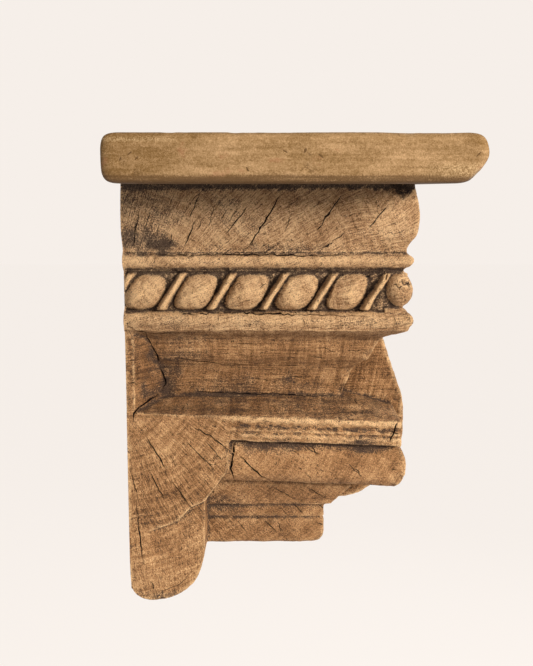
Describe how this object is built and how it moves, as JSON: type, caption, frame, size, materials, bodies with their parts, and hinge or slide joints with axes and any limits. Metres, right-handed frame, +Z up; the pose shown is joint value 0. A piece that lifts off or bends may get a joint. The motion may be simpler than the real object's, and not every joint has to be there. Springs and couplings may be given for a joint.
{
  "type": "wooden corbel shelf",
  "caption": "Carved hardwood corbel with a pearl-and-bar band, deep undercut and rounded foot, flat at the wall, carrying a plain thick wooden board.",
  "frame": {"origin": "the fixing point on the flat wall face, in the middle of the corbel's width, 82.6 mm below the corbel's top", "axes": "+X straight out from the wall, +Y along the wall, +Z up"},
  "size_m": [0.254, 0.402, 0.3639],
  "materials": {
    "board_wood": "smooth worn, waxed",
    "carved_hardwood": "old, dry, cracked, dark patina in the hollows"
  },
  "bodies": {
    "root": {"shelf_board": "board_wood", "carved_corbel": "carved_hardwood"}
  },
  "joints": []
}
